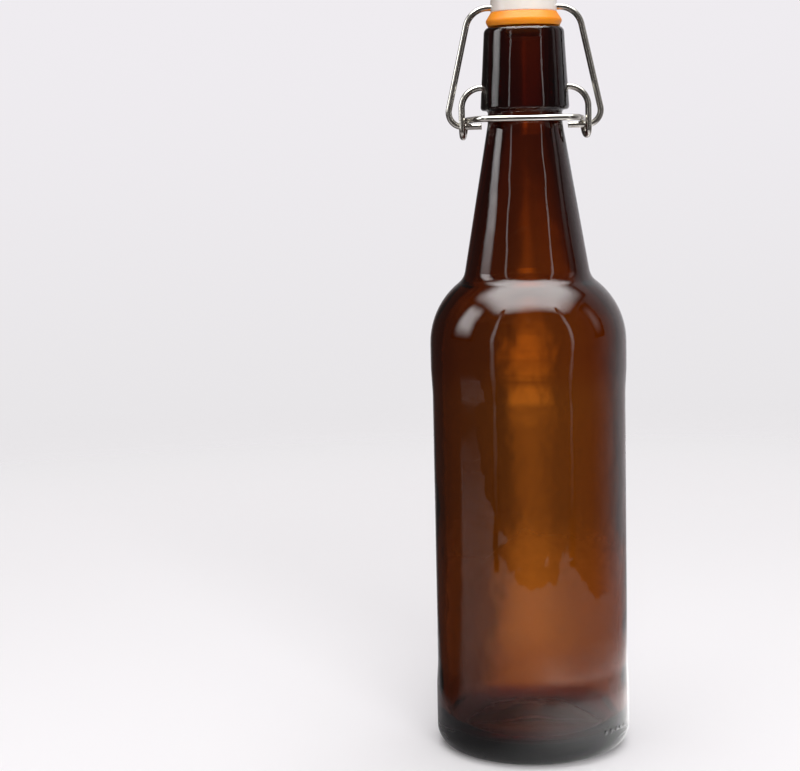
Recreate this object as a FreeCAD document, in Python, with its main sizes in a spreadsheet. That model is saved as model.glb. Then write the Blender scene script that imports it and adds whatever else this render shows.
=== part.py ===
import FreeCAD, Part
import itertools
import math
import os
import re
import Sketcher

# Swing top bottle: a glass bottle closed by a stopper that a wire bail and a wire lever pull down.
# The bottle stands on z = 0 with its axis on Z. The hinges lie along X and the lever's handle is at -Y.

Vector = FreeCAD.Vector

SIZES = {
    # the glass, outside
    "glass_height": 258.0,
    "body_diameter": 70.0,
    "heel_radius": 7.0,
    "bearing_width": 2.4,
    "bearing_fillet": 3.0,
    "punt_height": 4.5,
    "heel_band_top": 22.0,
    "panel_bottom": 30.0,
    "panel_top": 129.0,
    "panel_inset": 0.5,
    "band_bottom": 138.0,
    "band_blend": 40.0,
    "shoulder_height": 147.0,
    "shoulder_radius": 27.5,
    "neck_foot_height": 170.0,
    "neck_foot_fillet": 6.0,
    "neck_diameter": 26.2,
    "neck_straight": 4.0,
    "neck_blend": 20.0,
    "collar_height": 29.0,
    "collar_step": 2.6,
    "collar_taper": 1.7,
    "collar_edge_fillet": 1.2,
    "collar_root_fillet": 1.0,
    "lip_fillet": 2.3,
    # the glass, inside
    "wall": 3.5,
    "floor_thickness": 4.0,
    "floor_fall": 2.0,
    "floor_fillet": 8.0,
    "cavity_foot_drop": 2.0,
    "cavity_foot_fillet": 8.0,
    "bore_diameter": 17.0,
    "bore_length": 36.0,
    "mouth_fillet": 0.8,
    # the sockets in the collar
    "pivot_rise": 8.1,
    "socket_depth": 3.5,
    "socket_play": 0.3,
    "socket_flare": 1.8,
    "socket_end_play": 0.4,
    # the lever
    "wire_diameter": 2.2,
    "lever_spread": 6.6,
    "lever_bend": 7.0,
    "eye_play": 0.75,
    "eye_bend": 2.6,
    "eye_drop": 14.1,
    "eye_setback": 1.0,
    "eye_gap": 0.41,
    "handle_gap": 1.0,
    "handle_side_gap": 2.8,
    "handle_bend": 6.0,
    # the bail
    "pin_play": 0.08,
    "pin_end_gap": 2.2,
    "bail_foot_spread": 5.8,
    "bail_foot_bend": 5.0,
    "bail_top_spread": 3.2,
    "bail_top_bend": 8.0,
    # the stopper and its gasket
    "hole_rise": 1.75,
    "hole_play": 0.2,
    "seat_gap": 0.15,
    "gasket_thickness": 4.8,
    "gasket_inset": 0.5,
    "gasket_rim": 1.8,
    "gasket_chamfer": 0.9,
    "gasket_fillet": 1.2,
    "plug_depth": 1.5,
    "plug_play": 0.3,
    "plug_taper": 1.4,
    "stem_diameter": 9.5,
    "stem_play": 0.05,
    "nub_overhang": 1.45,
    "nub_length": 2.6,
    "nub_fillet": 1.5,
    "cap_inset": 1.9,
    "cap_skirt": 4.55,
    "cap_dome": 7.5,
    "cap_edge_fillet": 0.6,
    "cap_dome_fillet": 3.0,
}

FORMULAS = {
    # the glass, outside
    "body_radius": "body_diameter / 2",
    "panel_radius": "body_radius - panel_inset",
    "bearing_radius": "body_radius - heel_radius - bearing_width",
    "punt_centre": "(punt_height ^ 2 - bearing_radius ^ 2) / (2 * punt_height)",
    "shoulder_centre": "body_radius - shoulder_radius",
    "foot_rise": "neck_foot_height - shoulder_height",
    "foot_radius": "shoulder_centre + sqrt(shoulder_radius ^ 2 - foot_rise ^ 2)",
    "neck_radius": "neck_diameter / 2",
    "collar_bottom": "glass_height - collar_height",
    "neck_top": "collar_bottom - neck_straight",
    "collar_radius": "neck_radius + collar_step",
    "lip_radius": "collar_radius - collar_taper",
    # the glass, inside
    "floor_height": "punt_height + floor_thickness",
    "floor_edge": "floor_height - floor_fall",
    "cavity_radius": "body_radius - wall",
    "cavity_shoulder_radius": "shoulder_radius - wall",
    "cavity_foot": "neck_foot_height - cavity_foot_drop",
    "cavity_foot_rise": "cavity_foot - shoulder_height",
    "cavity_foot_radius": "shoulder_centre + sqrt(cavity_shoulder_radius ^ 2 - cavity_foot_rise ^ 2)",
    "bore_radius": "bore_diameter / 2",
    "bore_bottom": "glass_height - bore_length",
    # the hinges, from the bottle up: the lever's pivots, the bail's pins and the stopper's cross hole
    "pivot_height": "collar_bottom + pivot_rise",
    "socket_end": "collar_radius - socket_depth",
    "socket_tip_diameter": "wire_diameter + 2 * socket_play",
    "socket_flare_diameter": "socket_tip_diameter + 2 * socket_flare",
    "pin_height": "pivot_height + eye_top - wire_diameter - pin_play",
    "hole_height": "cap_base + hole_rise",
    # the lever, from its pivots
    "lever_half_width": "collar_radius + lever_spread",
    "eye_half_size": "wire_diameter + eye_play",
    "eye_top": "eye_half_size - eye_drop",
    "eye_bottom": "-eye_half_size - eye_drop",
    "eye_front": "eye_setback - eye_half_size",
    "eye_back": "eye_setback + eye_half_size",
    "handle_reach": "neck_radius + wire_diameter / 2 + handle_gap",
    "handle_half_width": "neck_radius + wire_diameter / 2 + handle_side_gap",
    # the arm runs from the eye's back to the handle, and passes inside the leg where their paths cross
    "cross_share": "(eye_back - eye_front * eye_top / eye_bottom) / (eye_back + handle_reach)",
    "cross_half_width": "lever_half_width - wire_diameter - eye_gap",
    "arm_half_width": "(cross_half_width - cross_share * handle_half_width) / (1 - cross_share)",
    # the bail, from its pins
    "pin_end": "neck_radius + pin_end_gap",
    "bail_foot_half_width": "lever_half_width + bail_foot_spread",
    "bail_top_half_width": "collar_radius + bail_top_spread",
    "bail_rise": "hole_height - pin_height",
    "bail_length": "sqrt(bail_rise ^ 2 + eye_setback ^ 2)",
    # the stopper and its gasket
    "land_height": "glass_height + seat_gap",
    "plug_bottom": "land_height - plug_depth",
    "plug_radius": "bore_radius - plug_play",
    "stem_radius": "stem_diameter / 2",
    "nub_radius": "stem_radius + nub_overhang",
    "nub_bottom": "plug_bottom - nub_length",
    "cap_base": "land_height + gasket_thickness",
    "cap_radius": "gasket_radius - cap_inset",
    "cap_shoulder": "cap_base + cap_skirt",
    "cap_top": "cap_shoulder + cap_dome",
    "dome_centre": "cap_shoulder + (cap_dome ^ 2 - cap_radius ^ 2) / (2 * cap_dome)",
    "gasket_radius": "lip_radius - gasket_inset",
}

doc = FreeCAD.newDocument("SwingTopBottle")
sheet = doc.addObject("Spreadsheet::Sheet", "Sizes")
for row, (name, value) in enumerate(SIZES.items(), start=1):
    sheet.set("A%d" % row, name)
    sheet.set("B%d" % row, str(value))
    sheet.setAlias("B%d" % row, name)
doc.recompute()

dimension_numbers = itertools.count(1)


def expression(text):
    """A formula in words, written out in cells of the sheet."""
    def cell_or_formula(match):
        word = match.group()
        if word in FORMULAS:
            return "(" + expression(FORMULAS[word]) + ")"
        return "Sizes." + word if word in SIZES else word
    return re.sub("[a-z_]+", cell_or_formula, text)


def size(text):
    return float(sheet.evalExpression(expression(text)))


def new_body(label):
    body = doc.addObject("PartDesign::Body", label)
    body.Label = label
    return body


def origin_plane(body, role):
    return [item for item in body.Origin.OriginFeatures if item.Role == role][0]


def new_sketch(body, name, role):
    sketch = body.newObject("Sketcher::SketchObject", name)
    sketch.AttachmentSupport = [(origin_plane(body, role), "")]
    sketch.MapMode = "FlatFace"
    return sketch


def bind(sketch, text, kind, *where):
    """A dimension in a sketch that follows the sheet."""
    name = "size_%d" % next(dimension_numbers)
    index = sketch.addConstraint(Sketcher.Constraint(kind, *where, size(text)))
    sketch.renameConstraint(index, name)
    sketch.setExpression("Constraints." + name, expression(text))


def bind_point(sketch, edge, end, across, up):
    """Place an end of a sketch edge. A distance of "0" puts it on the sketch's own axis."""
    for kind, axis, text in (("DistanceX", -2, across), ("DistanceY", -1, up)):
        if text == "0":
            sketch.addConstraint(Sketcher.Constraint("PointOnObject", edge, end, axis))
        else:
            bind(sketch, text, kind, -1, 1, edge, end)


def round_corner(sketch, edge, next_edge, radius):
    """Round the corner between two lines of a sketch."""
    lines = [sketch.Geometry[edge], sketch.Geometry[next_edge]]
    middles = [(line.StartPoint + line.EndPoint) / 2 for line in lines]
    arc = len(sketch.Geometry)
    sketch.fillet(edge, next_edge, *middles, size(radius), True, True)
    bind(sketch, radius, "Radius", arc)


def draw_outline(sketch, corners, arc_centres=None):
    """A closed outline through corners.

    Each corner is its distance across, its height and, if it is rounded, the radius. arc_centres gives, by
    the number of a corner, the centre of the arc that leaves it. The centre lies on the axis, or else level
    with the corner.
    """
    centres = arc_centres or {}
    count = len(corners)
    points = [Vector(size(corner[0]), size(corner[1]), 0) for corner in corners]
    ends = []
    for number, start in enumerate(points):
        stop = points[(number + 1) % count]
        first, last = 1, 2
        if number in centres:
            centre = Vector(size(centres[number][0]), size(centres[number][1]), 0)
            outward = (start + stop) / 2 - centre
            middle = centre + outward * ((start - centre).Length / outward.Length)
            # A sketch's arcs run anticlockwise.
            if (start - centre).cross(stop - centre).z < 0:
                start, stop = stop, start
                first, last = 2, 1
            sketch.addGeometry(Part.Arc(start, middle, stop))
        else:
            sketch.addGeometry(Part.LineSegment(start, stop))
        ends.append((first, last))
    for edge, (first, last) in enumerate(ends):
        next_edge = (edge + 1) % count
        sketch.addConstraint(Sketcher.Constraint("Coincident", edge, last, next_edge, ends[next_edge][0]))
        bind_point(sketch, edge, first, *corners[edge][:2])
        if edge in centres and centres[edge][0] == "0":
            sketch.addConstraint(Sketcher.Constraint("PointOnObject", edge, 3, -2))
        elif edge in centres:
            bind(sketch, centres[edge][1], "DistanceY", -1, 1, edge, 3)
    for edge, corner in enumerate(corners):
        if len(corner) == 3:
            round_corner(sketch, (edge - 1) % count, edge, corner[2])


def turn(body, kind, name, sketch):
    """A whole turn of a sketch about Z: a Revolution adds, a Groove takes away."""
    feature = body.newObject("PartDesign::" + kind, name)
    feature.Profile = sketch
    feature.ReferenceAxis = (sketch, ["V_Axis"])
    feature.Angle = 360
    doc.recompute()


def round_rings(body, radius, *rings):
    """Round the circular edges that have the given radii and heights."""
    near = 0.01
    before = body.Tip
    names = []
    for across, up in rings:
        for number, edge in enumerate(before.Shape.Edges, start=1):
            if edge.Degenerated or not isinstance(edge.Curve, Part.Circle):
                continue
            off_radius = abs(edge.Curve.Radius - size(across))
            off_height = abs(edge.Curve.Center.z - size(up))
            if max(off_radius, off_height) < near:
                names.append("Edge%d" % number)
    if len(names) != len(rings):
        raise RuntimeError("%s: %d edges found for %d rings" % (radius, len(names), len(rings)))
    fillet = body.newObject("PartDesign::Fillet", radius + "_round")
    fillet.Base = (before, names)
    fillet.setExpression("Radius", expression(radius))
    doc.recompute()


# Glass bottle

glass = new_body("glass_bottle")

outside = new_sketch(glass, "glass_outside", "XZ_Plane")
draw_outline(
    outside,
    [
        ("0", "punt_height"),
        ("bearing_radius", "0"),
        ("body_radius", "0", "heel_radius"),
        ("body_radius", "heel_band_top", "band_blend"),
        ("panel_radius", "panel_bottom", "band_blend"),
        ("panel_radius", "panel_top", "band_blend"),
        ("body_radius", "band_bottom", "band_blend"),
        ("body_radius", "shoulder_height"),
        ("foot_radius", "neck_foot_height"),
        ("neck_radius", "neck_top", "neck_blend"),
        ("neck_radius", "collar_bottom", "collar_root_fillet"),
        ("collar_radius", "collar_bottom", "collar_edge_fillet"),
        ("lip_radius", "glass_height", "lip_fillet"),
        ("0", "glass_height"),
    ],
    {0: ("0", "punt_centre"), 7: ("shoulder_centre", "shoulder_height")},
)
turn(glass, "Revolution", "glass_blank", outside)

inside = new_sketch(glass, "glass_inside", "XZ_Plane")
draw_outline(
    inside,
    [
        ("0", "floor_height"),
        ("cavity_radius", "floor_edge", "floor_fillet"),
        ("cavity_radius", "shoulder_height"),
        ("cavity_foot_radius", "cavity_foot"),
        ("bore_radius", "bore_bottom", "neck_blend"),
        ("bore_radius", "glass_height"),
        ("0", "glass_height"),
    ],
    {2: ("shoulder_centre", "shoulder_height")},
)
turn(glass, "Groove", "glass_cavity", inside)

round_rings(glass, "bearing_fillet", ("bearing_radius", "0"))
round_rings(glass, "neck_foot_fillet", ("foot_radius", "neck_foot_height"))
round_rings(glass, "mouth_fillet", ("bore_radius", "glass_height"))
round_rings(glass, "cavity_foot_fillet", ("cavity_foot_radius", "cavity_foot"))

# A tapered socket on each side of the collar takes an end of the lever.
socket = glass.newObject("PartDesign::SubtractiveCone", "pivot_socket")
socket.AttachmentSupport = [(origin_plane(glass, "YZ_Plane"), "")]
socket.MapMode = "FlatFace"
socket.setExpression("Radius1", expression("socket_tip_diameter / 2"))
socket.setExpression("Radius2", expression("socket_flare_diameter / 2"))
socket.setExpression("Height", expression("socket_depth + wire_diameter"))
socket.setExpression("AttachmentOffset.Base.y", expression("pivot_height"))
socket.setExpression("AttachmentOffset.Base.z", expression("socket_end"))
doc.recompute()
socket_pair = glass.newObject("PartDesign::Mirrored", "socket_pair")
socket_pair.Originals = [socket]
socket_pair.MirrorPlane = (origin_plane(glass, "YZ_Plane"), [""])
glass.Tip = socket_pair
doc.recompute()

# Stopper: a domed cap on a stem, with a nub that keeps the gasket on

stopper = new_body("stopper")
stopper_outline = new_sketch(stopper, "stopper_outline", "XZ_Plane")
draw_outline(
    stopper_outline,
    [
        ("0", "nub_bottom"),
        ("nub_radius", "nub_bottom", "nub_fillet"),
        ("nub_radius", "plug_bottom"),
        ("stem_radius", "plug_bottom"),
        ("stem_radius", "cap_base"),
        ("cap_radius", "cap_base", "cap_edge_fillet"),
        ("cap_radius", "cap_shoulder"),
        ("0", "cap_top"),
    ],
    {6: ("0", "dome_centre")},
)
turn(stopper, "Revolution", "stopper_blank", stopper_outline)
round_rings(stopper, "cap_dome_fillet", ("cap_radius", "cap_shoulder"))

hole_outline = new_sketch(stopper, "hole_outline", "YZ_Plane")
hole_centre = Vector(0, size("hole_height"), 0)
hole_outline.addGeometry(Part.Circle(hole_centre, Vector(0, 0, 1), size("wire_diameter")))
bind_point(hole_outline, 0, 3, "0", "hole_height")
bind(hole_outline, "wire_diameter / 2 + hole_play", "Radius", 0)
cross_hole = stopper.newObject("PartDesign::Pocket", "cross_hole")
cross_hole.Profile = hole_outline
cross_hole.Type = "ThroughAll"
cross_hole.SideType = "Symmetric"
doc.recompute()

# Sealing gasket: a ring that swells towards the mouth, with a tapered plug that enters the bore

gasket = new_body("sealing_gasket")
gasket_outline = new_sketch(gasket, "gasket_outline", "XZ_Plane")
draw_outline(
    gasket_outline,
    [
        ("stem_radius + stem_play", "cap_base"),
        ("cap_radius", "cap_base"),
        ("gasket_radius", "land_height + gasket_rim", "gasket_fillet"),
        ("gasket_radius - gasket_chamfer", "land_height"),
        ("plug_radius", "land_height"),
        ("plug_radius - plug_taper", "plug_bottom"),
        ("stem_radius + stem_play", "plug_bottom"),
    ],
)
turn(gasket, "Revolution", "gasket_ring", gasket_outline)

# Bail: one wire bent in a plane, from a pin up one leg, through the stopper and down to the other pin

bail = new_body("bail_wire")
bail_path = new_sketch(bail, "bail_path", "XZ_Plane")
foot = size("bail_foot_half_width")
top = size("bail_top_half_width")
end = size("pin_end")
rise = size("bail_length")
stations = [(-end, 0), (-foot, 0), (-top, rise), (top, rise), (foot, 0), (end, 0)]
stations = [Vector(across, up, 0) for across, up in stations]
for start, stop in zip(stations, stations[1:]):
    bail_path.addGeometry(Part.LineSegment(start, stop))
left_pin, left_leg, crossbar, right_leg, right_pin = range(5)
for edge in range(left_pin, right_pin):
    bail_path.addConstraint(Sketcher.Constraint("Coincident", edge, 2, edge + 1, 1))
bind_point(bail_path, right_pin, 2, "pin_end", "0")
bind_point(bail_path, right_pin, 1, "bail_foot_half_width", "0")
bind_point(bail_path, right_leg, 1, "bail_top_half_width", "bail_length")
for left, left_end, right, right_end in (
    (left_pin, 1, right_pin, 2),
    (left_pin, 2, right_pin, 1),
    (left_leg, 2, right_leg, 1),
):
    bail_path.addConstraint(Sketcher.Constraint("Symmetric", left, left_end, right, right_end, -2))
bends = ["bail_foot_bend", "bail_top_bend", "bail_top_bend", "bail_foot_bend"]
for edge, bend in enumerate(bends):
    round_corner(bail_path, edge, edge + 1, bend)

bail_section = new_sketch(bail, "bail_section", "YZ_Plane")
bail_section.setExpression("AttachmentOffset.Base.z", expression("-pin_end"))
bail_section.addGeometry(Part.Circle(Vector(0, 0, 0), Vector(0, 0, 1), size("wire_diameter / 2")))
bail_section.addConstraint(Sketcher.Constraint("Coincident", 0, 3, -1, 1))
bind(bail_section, "wire_diameter / 2", "Radius", 0)
bail_pipe = bail.newObject("PartDesign::AdditivePipe", "bail_pipe")
bail_pipe.Profile = bail_section
bail_pipe.Spine = (bail_path, [])
# The bail leans forward from its pins, which the closed lever holds a little behind the neck's axis.
lean = math.degrees(math.atan2(size("eye_setback"), size("bail_rise")))
bail.Placement = FreeCAD.Placement(
    Vector(0, size("eye_setback"), size("pin_height")), FreeCAD.Rotation(Vector(1, 0, 0), lean)
)
doc.recompute()


# Lever: one wire bent in space, from a pivot over the shoulder, round the eye and forward to the handle

def bent_wire(corners, bend_radii, diameter):
    """A round wire along straight runs with a tangent arc at each corner."""
    edges = []
    start = corners[0]
    for before, corner, after, radius in zip(corners, corners[1:], corners[2:], bend_radii):
        into = (corner - before).normalize()
        away = (after - corner).normalize()
        reach = radius * math.tan(into.getAngle(away) / 2)
        first = corner - into * reach
        last = corner + away * reach
        centre = first + (away - into * into.dot(away)).normalize() * radius
        middle = centre + (corner - centre).normalize() * radius
        edges.append(Part.LineSegment(start, first).toShape())
        edges.append(Part.Arc(first, middle, last).toShape())
        start = last
    edges.append(Part.LineSegment(start, corners[-1]).toShape())
    path = Part.Wire(edges)
    section = Part.Wire([Part.makeCircle(diameter / 2, corners[0], corners[1] - corners[0])])
    pipe = Part.BRepOffsetAPI.MakePipeShell(path)
    pipe.add(section)
    pipe.build()
    pipe.makeSolid()
    return pipe.shape(), path.Length


width = size("lever_half_width")
arm = size("arm_half_width")
eye_front = size("eye_front")
eye_back = size("eye_back")
eye_top = size("eye_top")
eye_bottom = size("eye_bottom")
right_side = [
    Vector(size("socket_end + socket_end_play"), 0, 0),
    Vector(width, 0, 0),
    Vector(width, eye_front, eye_bottom),
    Vector((width + arm) / 2, eye_back, eye_bottom),
    Vector(arm, eye_back, eye_top),
    Vector(size("handle_half_width"), -size("handle_reach"), eye_top),
]
left_side = [Vector(-corner.x, corner.y, corner.z) for corner in reversed(right_side)]
side_bends = ["lever_bend", "eye_bend", "eye_bend", "eye_bend", "handle_bend"]
lever_bends = [size(bend) for bend in side_bends + side_bends[::-1]]
lever = doc.addObject("Part::Feature", "lever_wire")
lever.Label = "lever_wire"
lever.Shape, lever_length = bent_wire(right_side + left_side, lever_bends, size("wire_diameter"))
lever.Placement = FreeCAD.Placement(Vector(0, 0, size("pivot_height")), FreeCAD.Rotation())
doc.recompute()

# Checks before the files are written

for item in doc.Objects:
    if "Invalid" in item.State or "Error" in item.State:
        raise RuntimeError("%s is %s" % (item.Label, item.State))

wire_section = math.pi * size("wire_diameter") ** 2 / 4
for wire, length in ((bail, bail_path.Shape.Length), (lever, lever_length)):
    if abs(wire.Shape.Volume / (wire_section * length) - 1) > 0.01:
        raise RuntimeError("%s is not a whole length of wire" % wire.Label)

os.makedirs("parts", exist_ok=True)
for piece in (glass, lever, bail, stopper, gasket):
    shape = piece.Shape
    if shape.isNull() or not shape.isValid() or len(shape.Solids) != 1:
        raise RuntimeError("%s is not one sound solid" % piece.Label)
    shape.exportStep("parts/%s.step" % piece.Label)
    print(piece.Label, "%.1f mm3" % shape.Volume)
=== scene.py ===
import math

import bpy
from mathutils import Matrix, Vector


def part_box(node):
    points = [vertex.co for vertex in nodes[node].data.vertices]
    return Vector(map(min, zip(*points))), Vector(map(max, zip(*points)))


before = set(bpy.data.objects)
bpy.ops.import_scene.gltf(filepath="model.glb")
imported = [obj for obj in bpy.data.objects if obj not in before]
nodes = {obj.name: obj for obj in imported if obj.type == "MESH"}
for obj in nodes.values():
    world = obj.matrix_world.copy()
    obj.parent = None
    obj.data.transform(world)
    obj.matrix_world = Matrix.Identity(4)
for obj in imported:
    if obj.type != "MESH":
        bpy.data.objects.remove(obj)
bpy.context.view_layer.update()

# The CAD parts carry the whole shape. This script gives them their finishes, and adds the floor, the
# lights and the camera. Lengths are in metres.

MM = 0.001
glass_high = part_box("glass_bottle")[1]
BODY_RADIUS = glass_high.x
GLASS_HEIGHT = glass_high.z

BLACK = (0.0, 0.0, 0.0, 1.0)
WHITE = (1.0, 1.0, 1.0, 1.0)

# A span says where a change starts and where it ends. This one is for a value that is a share.
SHARE = (0.0, 1.0)

# Most of a noise lies between the outer two of these values, round its middle.
NOISE_LOW, NOISE_MIDDLE, NOISE_HIGH = 0.3, 0.5, 0.7


def linear(hex_colour):
    """An sRGB hex colour as linear red, green, blue and a full alpha."""
    channels = [int(hex_colour[start:start + 2], 16) / 255 for start in (1, 3, 5)]
    bent = [c / 12.92 if c <= 0.04045 else ((c + 0.055) / 1.055) ** 2.4 for c in channels]
    return (*bent, 1.0)


def add_node(tree, kind, links=None, **settings):
    """Add a node with its settings, and give its outputs. links gives, for an input's name or number, the
    socket that it reads or its value.
    """
    node = tree.nodes.new(kind)
    for name, value in settings.items():
        setattr(node, name, value)
    for name, source in (links or {}).items():
        if isinstance(source, bpy.types.NodeSocket):
            tree.links.new(source, node.inputs[name])
        else:
            node.inputs[name].default_value = source
    return node.outputs


def layer(tree, colour, second, value, span):
    """Go over from one colour to a second while a value runs along a span."""
    start, stop = span
    factor = add_node(
        tree,
        "ShaderNodeMapRange",
        {"Value": value, "From Min": start, "From Max": stop},
        interpolation_type="SMOOTHSTEP",
    )["Result"]
    return add_node(
        tree, "ShaderNodeMix", {"Factor": factor, "A": colour, "B": second}, data_type="RGBA"
    )["Result"]


def clouded(tree, place, width, first, second):
    """Soft clouds of a width: how thick they are, and a tint that drifts with them between two colours."""
    cloud = add_node(
        tree, "ShaderNodeTexNoise", {"Vector": place, "Scale": 1 / width, "Detail": 2.0}
    )["Fac"]
    tint = add_node(
        tree,
        "ShaderNodeMix",
        {"Factor": cloud, "A": linear(first), "B": linear(second)},
        data_type="RGBA",
    )["Result"]
    return cloud, tint


def new_material(name):
    """An empty node material and its tree."""
    material = bpy.data.materials.new(name)
    material.use_nodes = True
    material.node_tree.nodes.clear()
    return material, material.node_tree


def dress(node_name, material):
    """Give a CAD node its finish."""
    mesh = nodes[node_name].data
    mesh.materials.clear()
    mesh.materials.append(material)


# Amber glass, blown in a two part mould

def amber_glass():
    """Clear iron amber: it takes nearly all blue and much green, so thin walls glow orange and thick ones
    go black. Blowing leaves a slow ripple in the skin, and the mould leaves a seam on each side and a row
    of code dots, which are drawn larger and higher than real ones so that they show.
    """
    wall_colour = linear("#E3BD20")
    density_per_metre = 860.0
    ripple_width = 22 * MM
    ripple_height = 0.6 * MM
    ripple_stretch = (1.0, 1.0, 0.8)
    seam_half_width = 0.5 * MM
    seam_height = 0.06 * MM
    dot_spacing = 3.2 * MM
    dot_radius = 1.0 * MM
    dot_height = 0.7 * MM
    dot_level = 10.0 * MM
    first_dot, last_dot = math.radians(-48), math.radians(-26)

    material, tree = new_material("amber_glass_blown")
    place = add_node(tree, "ShaderNodeTexCoord")["Object"]
    axes = add_node(tree, "ShaderNodeSeparateXYZ", {"Vector": place})

    # The ripple is a little longer down the bottle than round it.
    stretched = add_node(tree, "ShaderNodeMapping", {"Vector": place, "Scale": ripple_stretch})["Vector"]
    ripple = add_node(
        tree,
        "ShaderNodeTexNoise",
        {"Vector": stretched, "Scale": 1 / ripple_width, "Detail": 2.5, "Roughness": 0.4},
    )["Fac"]
    height = add_node(tree, "ShaderNodeMath", {0: ripple, 1: ripple_height}, operation="MULTIPLY")["Value"]

    # The mould's two halves meet at the sides, where y is nothing.
    off_seam = add_node(tree, "ShaderNodeMath", {0: axes["Y"]}, operation="ABSOLUTE")["Value"]
    seam = add_node(
        tree,
        "ShaderNodeMapRange",
        {"Value": off_seam, "From Max": seam_half_width, "To Min": seam_height, "To Max": 0.0},
        interpolation_type="SMOOTHSTEP",
    )["Result"]
    height = add_node(tree, "ShaderNodeMath", {0: height, 1: seam}, operation="ADD")["Value"]

    # Code dots stand in one row just above the heel, at even steps round it.
    angle = add_node(tree, "ShaderNodeMath", {0: axes["Y"], 1: axes["X"]}, operation="ARCTAN2")["Value"]
    along = add_node(tree, "ShaderNodeMath", {0: angle, 1: BODY_RADIUS}, operation="MULTIPLY")["Value"]
    from_dot = add_node(
        tree, "ShaderNodeMath", {0: along, 1: dot_spacing / 2}, operation="PINGPONG"
    )["Value"]
    above_dot = add_node(
        tree, "ShaderNodeMath", {0: axes["Z"], 1: dot_level}, operation="SUBTRACT"
    )["Value"]
    across_dot = add_node(tree, "ShaderNodeCombineXYZ", {"X": from_dot, "Y": above_dot})["Vector"]
    to_centre = add_node(tree, "ShaderNodeVectorMath", {0: across_dot}, operation="LENGTH")["Value"]
    dot = add_node(
        tree,
        "ShaderNodeMapRange",
        {"Value": to_centre, "From Max": dot_radius, "To Min": 1.0, "To Max": 0.0},
        interpolation_type="SMOOTHSTEP",
    )["Result"]
    row_middle, row_half = (first_dot + last_dot) / 2, (last_dot - first_dot) / 2
    in_row = add_node(
        tree, "ShaderNodeMath", {0: angle, 1: row_middle, 2: row_half}, operation="COMPARE"
    )["Value"]
    dots = add_node(tree, "ShaderNodeMath", {0: dot, 1: in_row}, operation="MULTIPLY")["Value"]
    height = add_node(
        tree, "ShaderNodeMath", {0: dots, 1: dot_height, 2: height}, operation="MULTIPLY_ADD"
    )["Value"]

    # Painted shade: the dots are painted dark in the base colour, for the light that their steep sides send
    # away.
    tint = layer(tree, WHITE, linear("#1C0E08"), dots, SHARE)
    bump = add_node(tree, "ShaderNodeBump", {"Height": height, "Strength": 1.0, "Distance": 1.0})["Normal"]

    skin = add_node(
        tree,
        "ShaderNodeBsdfPrincipled",
        {
            "Base Color": tint,
            "Transmission Weight": 1.0,
            "IOR": 1.52,
            "Roughness": 0.0,
            "Normal": bump,
        },
    )["BSDF"]
    inside = add_node(
        tree, "ShaderNodeVolumeAbsorption", {"Color": wall_colour, "Density": density_per_metre}
    )["Volume"]
    add_node(tree, "ShaderNodeOutputMaterial", {"Surface": skin, "Volume": inside})
    return material


# Steel wire, drawn and nickel plated

def drawn_steel(name):
    """Bright plated spring wire: a mirror with a slight warm grey, softened by the fine marks of the die.
    Real die marks are finer, and they are drawn as a grain as coarse as it needs to show.
    """
    grain_width = 0.35 * MM
    grain_depth = 0.02 * MM
    cloud_width = 9 * MM
    material, tree = new_material(name)
    place = add_node(tree, "ShaderNodeTexCoord")["Object"]
    grain = add_node(
        tree,
        "ShaderNodeTexNoise",
        {"Vector": place, "Scale": 1 / grain_width, "Detail": 2.0, "Roughness": 0.6},
    )["Fac"]
    tint = clouded(tree, place, cloud_width, "#D0CCC3", "#E2DFD8")[1]
    roughness = add_node(
        tree,
        "ShaderNodeMapRange",
        {"Value": grain, "From Min": NOISE_LOW, "From Max": NOISE_HIGH, "To Min": 0.14, "To Max": 0.27},
    )["Result"]
    bump = add_node(
        tree, "ShaderNodeBump", {"Height": grain, "Strength": 0.15, "Distance": grain_depth}
    )["Normal"]
    wire = add_node(
        tree,
        "ShaderNodeBsdfPrincipled",
        {"Base Color": tint, "Metallic": 1.0, "Roughness": roughness, "Normal": bump},
    )["BSDF"]
    add_node(tree, "ShaderNodeOutputMaterial", {"Surface": wire})
    return material


# White plastic stopper, moulded

def white_plastic():
    """Glossy white with a warm cast: light goes a little way in, and the skin has a faint orange peel."""
    peel_width = 1.1 * MM
    peel_depth = 0.03 * MM
    cloud_width = 14 * MM
    material, tree = new_material("white_plastic_moulded")
    place = add_node(tree, "ShaderNodeTexCoord")["Object"]
    peel = add_node(
        tree, "ShaderNodeTexNoise", {"Vector": place, "Scale": 1 / peel_width, "Detail": 1.0}
    )["Fac"]
    cloud, tint = clouded(tree, place, cloud_width, "#EFE6DD", "#F7F0E9")
    roughness = add_node(
        tree,
        "ShaderNodeMapRange",
        {"Value": cloud, "From Min": NOISE_LOW, "From Max": NOISE_HIGH, "To Min": 0.2, "To Max": 0.3},
    )["Result"]
    bump = add_node(
        tree, "ShaderNodeBump", {"Height": peel, "Strength": 0.2, "Distance": peel_depth}
    )["Normal"]
    cap = add_node(
        tree,
        "ShaderNodeBsdfPrincipled",
        {
            "Base Color": tint,
            "Roughness": roughness,
            "IOR": 1.5,
            "Subsurface Weight": 0.15,
            "Subsurface Radius": (1.0, 0.8, 0.6),
            "Subsurface Scale": 1.5 * MM,
            "Normal": bump,
        },
    )["BSDF"]
    add_node(tree, "ShaderNodeOutputMaterial", {"Surface": cap})
    return material


# Orange rubber gasket, moulded

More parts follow.
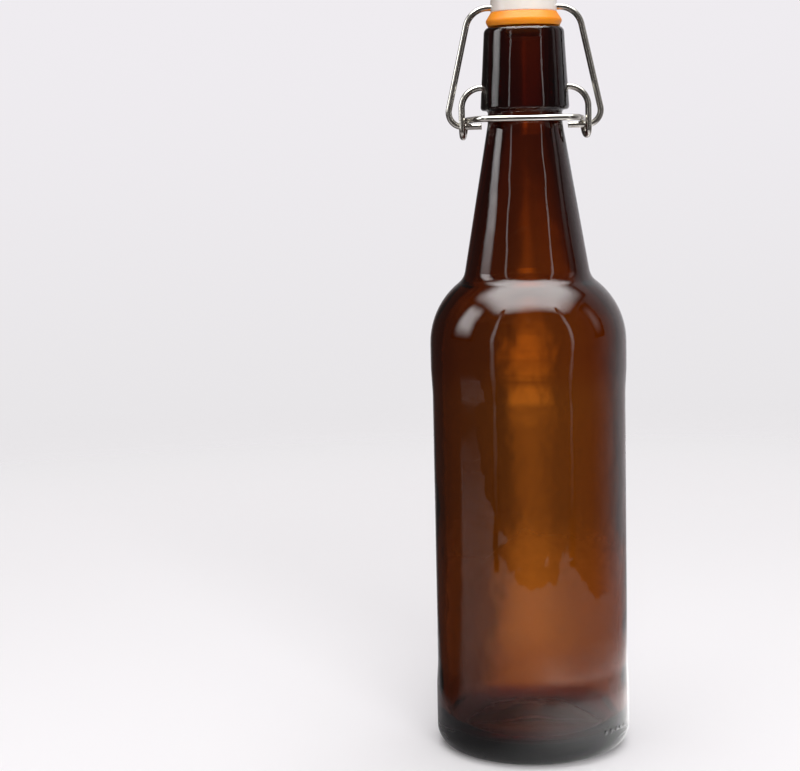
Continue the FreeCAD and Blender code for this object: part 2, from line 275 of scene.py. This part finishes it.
def orange_rubber():
    """Soft rubber like silicone: light spreads inside it, so the edges glow, and the skin is half matt.
    Its moulded grain is drawn as coarse as it needs to show.
    """
    grain_width = 0.6 * MM
    grain_depth = 0.05 * MM
    cloud_width = 6 * MM
    material, tree = new_material("orange_rubber_moulded")
    place = add_node(tree, "ShaderNodeTexCoord")["Object"]
    grain = add_node(
        tree, "ShaderNodeTexNoise", {"Vector": place, "Scale": 1 / grain_width, "Detail": 3.0}
    )["Fac"]
    tint = clouded(tree, place, cloud_width, "#F58800", "#FF9C0A")[1]
    roughness = add_node(
        tree,
        "ShaderNodeMapRange",
        {"Value": grain, "From Min": NOISE_LOW, "From Max": NOISE_HIGH, "To Min": 0.36, "To Max": 0.5},
    )["Result"]
    bump = add_node(
        tree, "ShaderNodeBump", {"Height": grain, "Strength": 0.3, "Distance": grain_depth}
    )["Normal"]
    ring = add_node(
        tree,
        "ShaderNodeBsdfPrincipled",
        {
            "Base Color": tint,
            "Roughness": roughness,
            "IOR": 1.45,
            "Subsurface Weight": 0.3,
            "Subsurface Radius": (1.0, 0.5, 0.15),
            "Subsurface Scale": 2 * MM,
            "Normal": bump,
        },
    )["BSDF"]
    add_node(tree, "ShaderNodeOutputMaterial", {"Surface": ring})
    return material


dress("glass_bottle", amber_glass())
dress("lever_wire", drawn_steel("steel_lever_drawn"))
dress("bail_wire", drawn_steel("steel_bail_drawn"))
dress("stopper", white_plastic())
dress("sealing_gasket", orange_rubber())

# The table, measured from the middle of the bottle's base

TABLE_REACH = 1.2
FADE = (0.25, 1.0)
FADE_IN_GLASS = (0.22, 0.45)
TABLE_RIGHT, TABLE_FRONT = 0.25, 0.32
EDGE_WAVE, EDGE_WAVE_WIDTH = 0.14, 0.11
# In mirror images the table vanishes past this corner, as a painted dark reflection.
DARK_REFLECTION_RIGHT, DARK_REFLECTION_FRONT = -0.05, 0.03
DARK_REFLECTION_BLUR = (0.0, 0.05)

# The band of light behind the bottle runs this far to the right for each length that it runs back.
BAND_SLOPE = 0.071


def pale_table():
    """A plain white table to the camera, which fades into the air, and sooner where it is seen through the
    glass. In mirror images it carries painted light: it is painted brighter than white on the right of the
    base, grey on the left of the base, and grey further out. There it ends at a wavy edge in front and on
    the right, and on the left it vanishes so that the dark air shows, as a painted dark reflection. Through
    the glass it carries a painted band of light behind the bottle, with painted shade to both sides, darker
    on the left.
    """
    left_to_right_of_base = (-0.05, 0.07)
    out_from_base = (0.06, 0.2)
    left_to_right_of_band = (-0.05, 0.03)
    out_from_band = (0.004, 0.03)
    # Brighter than white: painted light in the table's reflection beside the base.
    painted_glow_by_base = (2.2, 2.2, 2.2, 1.0)

    material, tree = new_material("pale_table")
    place = add_node(tree, "ShaderNodeTexCoord")["Object"]
    axes = add_node(tree, "ShaderNodeSeparateXYZ", {"Vector": place})
    reach = add_node(tree, "ShaderNodeVectorMath", {0: place}, operation="LENGTH")["Value"]

    # A ray that is bent by the glass counts as glossy too, so a mirrored one is glossy and not bent.
    path = add_node(tree, "ShaderNodeLightPath")
    bent = path["Is Transmission Ray"]
    mirrored = add_node(
        tree, "ShaderNodeMath", {0: path["Is Glossy Ray"], 1: bent}, operation="GREATER_THAN"
    )["Value"]

    far = layer(tree, BLACK, WHITE, reach, FADE)
    far_in_glass = layer(tree, BLACK, WHITE, reach, FADE_IN_GLASS)
    fade = layer(tree, far, far_in_glass, bent, SHARE)

    # How far a place is past the table's edge, which isn't quite straight.
    past_right = add_node(
        tree, "ShaderNodeMath", {0: axes["X"], 1: TABLE_RIGHT}, operation="SUBTRACT"
    )["Value"]
    past_front = add_node(
        tree, "ShaderNodeMath", {0: -TABLE_FRONT, 1: axes["Y"]}, operation="SUBTRACT"
    )["Value"]
    past_edge = add_node(
        tree, "ShaderNodeMath", {0: past_right, 1: past_front}, operation="MAXIMUM"
    )["Value"]
    wave = add_node(
        tree, "ShaderNodeTexNoise", {"Vector": place, "Scale": 1 / EDGE_WAVE_WIDTH, "Detail": 3.0}
    )["Fac"]
    wave = add_node(tree, "ShaderNodeMath", {0: wave, 1: NOISE_MIDDLE}, operation="SUBTRACT")["Value"]
    past_edge = add_node(
        tree, "ShaderNodeMath", {0: wave, 1: EDGE_WAVE, 2: past_edge}, operation="MULTIPLY_ADD"
    )["Value"]
    off_edge = add_node(tree, "ShaderNodeMath", {0: past_edge, 1: 0.0}, operation="GREATER_THAN")["Value"]

    # Painted dark reflection: in mirror images the table vanishes on the left, from just in front of the
    # bottle's middle to the back, so that the dark air shows there.
    on_left = add_node(
        tree, "ShaderNodeMath", {0: DARK_REFLECTION_RIGHT, 1: axes["X"]}, operation="SUBTRACT"
    )["Value"]
    behind = add_node(tree, "ShaderNodeMath", {0: axes["Y"], 1: DARK_REFLECTION_FRONT}, operation="ADD")["Value"]
    into_dark_reflection = add_node(tree, "ShaderNodeMath", {0: on_left, 1: behind}, operation="MINIMUM")["Value"]
    in_dark_reflection = layer(tree, BLACK, WHITE, into_dark_reflection, DARK_REFLECTION_BLUR)

    off_table = add_node(tree, "ShaderNodeMath", {0: off_edge, 1: in_dark_reflection}, operation="MAXIMUM")["Value"]
    hidden = add_node(tree, "ShaderNodeMath", {0: off_table, 1: mirrored}, operation="MULTIPLY")["Value"]
    missing = add_node(tree, "ShaderNodeMath", {0: fade, 1: hidden}, operation="MAXIMUM")["Value"]

    # Painted light and shade in mirror images: grey on the left of the base, brighter than white on its
    # right, and grey further out.
    painted_light_by_base = layer(tree, linear("#8E8B8D"), painted_glow_by_base, axes["X"], left_to_right_of_base)
    in_mirror = layer(tree, painted_light_by_base, linear("#B4B1B3"), reach, out_from_base)

    # Painted light and shade: through the glass the table is painted brightest on the band behind the
    # bottle, and darker to both sides, most on the left.
    on_band = add_node(tree, "ShaderNodeMath", {0: axes["Y"], 1: BAND_SLOPE}, operation="MULTIPLY")["Value"]
    side = add_node(tree, "ShaderNodeMath", {0: axes["X"], 1: on_band}, operation="SUBTRACT")["Value"]
    off_band = add_node(tree, "ShaderNodeMath", {0: side}, operation="ABSOLUTE")["Value"]
    flanks = layer(tree, linear("#7C787A"), linear("#D8D5D7"), side, left_to_right_of_band)
    in_glass = layer(tree, WHITE, flanks, off_band, out_from_band)

    colour = layer(tree, linear("#F4F2F4"), in_mirror, mirrored, SHARE)
    colour = layer(tree, colour, in_glass, bent, SHARE)
    top = add_node(tree, "ShaderNodeBsdfDiffuse", {"Color": colour})["BSDF"]
    gone = add_node(tree, "ShaderNodeBsdfTransparent")["BSDF"]
    surface = add_node(tree, "ShaderNodeMixShader", {0: missing, 1: top, 2: gone})["Shader"]
    add_node(tree, "ShaderNodeOutputMaterial", {"Surface": surface})
    return material


def flat_sheet(name, side, material):
    """A square sheet on the ground round the origin, in its material."""
    bpy.ops.object.select_all(action="DESELECT")
    bpy.ops.mesh.primitive_plane_add(size=side, location=(0, 0, 0))
    sheet = bpy.context.object
    sheet.name = name
    sheet.data.materials.append(material)
    return sheet


floor = flat_sheet("table", 2 * TABLE_REACH, pale_table())


# The air round the table

def studio_air():
    """Pale where it is seen straight. In mirror images it is dark in front and on the left, and pale at the
    back on the right, as in a white tent that is open in front. Through the glass a strip of light stands
    behind the bottle, and the air dims to both sides and higher up.
    """
    # Spans and levels along the three axes of the way that a ray goes
    left_to_right = (-0.4, 0.2)
    front_to_back = (-0.35, 0.75)
    low_to_high = (-0.2, 0.1)
    brightest_level = -0.1
    off_brightest = (0.0, 0.05)
    out_from_strip = (0.0, 0.04)
    left_to_right_of_strip = (-0.1, 0.1)
    over_horizon = (-0.01, 0.03)
    far_to_sides = (0.15, 0.5)
    strip_light = (1.3, 1.3, 1.2, 1.0)

    world = bpy.data.worlds.new("studio_air")
    bpy.context.scene.world = world
    world.use_nodes = True
    tree = world.node_tree
    tree.nodes.clear()
    way = add_node(tree, "ShaderNodeTexCoord")["Generated"]
    axes = add_node(tree, "ShaderNodeSeparateXYZ", {"Vector": way})
    path = add_node(tree, "ShaderNodeLightPath")

    back = layer(tree, linear("#3B3634"), linear("#C8C5C8"), axes["X"], left_to_right)
    tent = layer(tree, linear("#4A4645"), back, axes["Y"], front_to_back)
    backdrop = layer(tree, linear("#E7E5E7"), linear("#EFECF0"), axes["Z"], low_to_high)

    # The strip is brightest behind the bottle's upper body.
    off_level = add_node(
        tree, "ShaderNodeMath", {0: axes["Z"], 1: brightest_level}, operation="SUBTRACT"
    )["Value"]
    off_level = add_node(tree, "ShaderNodeMath", {0: off_level}, operation="ABSOLUTE")["Value"]
    side = add_node(tree, "ShaderNodeMath", {0: axes["X"], 1: BAND_SLOPE}, operation="SUBTRACT")["Value"]
    off_strip = add_node(tree, "ShaderNodeMath", {0: side}, operation="ABSOLUTE")["Value"]
    flanks = layer(tree, linear("#807C7E"), linear("#B4B1B3"), side, left_to_right_of_strip)
    strip = layer(tree, strip_light, linear("#CFCCCE"), off_level, off_brightest)
    through = layer(tree, strip, flanks, off_strip, out_from_strip)
    through = layer(tree, through, linear("#8E8A8C"), axes["Z"], over_horizon)
    through = layer(tree, through, linear("#5E5A5C"), off_strip, far_to_sides)

    colour = layer(tree, tent, backdrop, path["Is Camera Ray"], SHARE)
    colour = layer(tree, colour, through, path["Is Transmission Ray"], SHARE)
    air = add_node(tree, "ShaderNodeBackground", {"Color": colour, "Strength": 1.0})["Background"]
    add_node(tree, "ShaderNodeOutputWorld", {"Surface": air})


studio_air()


# Lights

def facing(place, aim, width=1.0, height=1.0):
    """The matrix that puts a light or a panel at a place, facing its aim, and gives it a size."""
    turn = (Vector(aim) - Vector(place)).to_track_quat("-Z", "Y")
    return Matrix.LocRotScale(Vector(place), turn, Vector((width, height, 1.0)))


def fill_light(name, place, aim, side, power, shadows):
    """A soft square light for matt surfaces that makes no highlight, with or without shadows."""
    lamp = bpy.data.lights.new(name, "AREA")
    lamp.shape = "RECTANGLE"
    lamp.size = side
    lamp.size_y = side
    lamp.energy = power
    lamp.use_shadow = shadows
    light = bpy.data.objects.new(name, lamp)
    bpy.context.scene.collection.objects.link(light)
    light.matrix_world = facing(place, aim)
    light.visible_camera = False
    light.visible_transmission = False
    light.visible_glossy = False


def soft_box(name, place, aim, width, height, brightness, soft_share):
    """A glowing panel whose edges fade over a share of it, and which is seen in mirror images alone."""
    # The panel's own side is one, and its matrix gives it its size.
    own_side = 1.0
    edge = own_side / 2

    material, tree = new_material(name)
    corner = add_node(tree, "ShaderNodeTexCoord")["Object"]
    off_middle = add_node(tree, "ShaderNodeVectorMath", {0: corner}, operation="ABSOLUTE")["Vector"]
    axes = add_node(tree, "ShaderNodeSeparateXYZ", {"Vector": off_middle})
    glow = brightness
    for axis in ("X", "Y"):
        inside = add_node(
            tree,
            "ShaderNodeMapRange",
            {
                "Value": axes[axis],
                "From Min": edge * (1 - soft_share),
                "From Max": edge,
                "To Min": 1.0,
                "To Max": 0.0,
            },
            interpolation_type="SMOOTHSTEP",
        )["Result"]
        glow = add_node(tree, "ShaderNodeMath", {0: glow, 1: inside}, operation="MULTIPLY")["Value"]
    face = add_node(tree, "ShaderNodeEmission", {"Color": WHITE, "Strength": glow})["Emission"]
    add_node(tree, "ShaderNodeOutputMaterial", {"Surface": face})

    panel = flat_sheet(name, own_side, material)
    panel.matrix_world = facing(place, aim, width, height)
    panel.visible_camera = False
    panel.visible_diffuse = False
    panel.visible_transmission = False
    panel.visible_shadow = False


soft_box(
    "top_panel",
    place=(0, -0.14, 0.9),
    aim=(0, -0.14, 0),
    width=1.5,
    height=0.95,
    brightness=7.5,
    soft_share=0.6,
)
for name, side in (("left_strip", -1), ("right_strip", 1)):
    soft_box(
        name,
        place=(side * 0.24, -0.25, 0.3),
        aim=(0, 0, 0.3),
        width=0.04,
        height=0.6,
        brightness=2.0,
        soft_share=0.9,
    )
soft_box(
    "left_panel",
    place=(-0.6, -0.03, 0.5),
    aim=(0, -0.03, 0.5),
    width=0.34,
    height=0.6,
    brightness=5.0,
    soft_share=0.7,
)
soft_box(
    "right_panel",
    place=(0.6, -0.03, 0.45),
    aim=(0, -0.03, 0.45),
    width=0.2,
    height=0.5,
    brightness=0.7,
    soft_share=0.9,
)

# Part of the light from above casts no shadow, which keeps the bottle's own shadow faint.
middle = (0, 0, GLASS_HEIGHT / 2)
for name, power, shadows in (("top_fill", 20.0, True), ("even_fill", 14.0, False)):
    fill_light(name, place=(0, -0.1, 1.6), aim=middle, side=1.8, power=power, shadows=shadows)
fill_light("front_fill", place=(0.2, -1.3, 0.7), aim=middle, side=0.8, power=12.0, shadows=True)

# The camera stands in front, to the left of the bottle and a little lower than its collar, and looks
# slightly down. Its angles are in degrees.

PICTURE_WIDTH = 800
FOCAL_PIXELS = 1823
SENSOR = 36.0
CAMERA_PLACE = Vector((-46.2 * MM, -650 * MM, 212 * MM))
CAMERA_PITCH = 7.0
CAMERA_ROLL = -1.27


def photograph_camera():
    """The camera at the photograph's viewing angle."""
    data = bpy.data.cameras.new("camera")
    data.sensor_width = SENSOR
    data.lens = SENSOR * FOCAL_PIXELS / PICTURE_WIDTH
    camera = bpy.data.objects.new("camera", data)
    bpy.context.scene.collection.objects.link(camera)
    upright = Matrix.Rotation(math.radians(90 - CAMERA_PITCH), 4, "X")
    roll = Matrix.Rotation(math.radians(CAMERA_ROLL), 4, "Z")
    camera.matrix_world = Matrix.Translation(CAMERA_PLACE) @ upright @ roll
    bpy.context.scene.camera = camera


photograph_camera()
bpy.context.scene.view_settings.view_transform = "Standard"
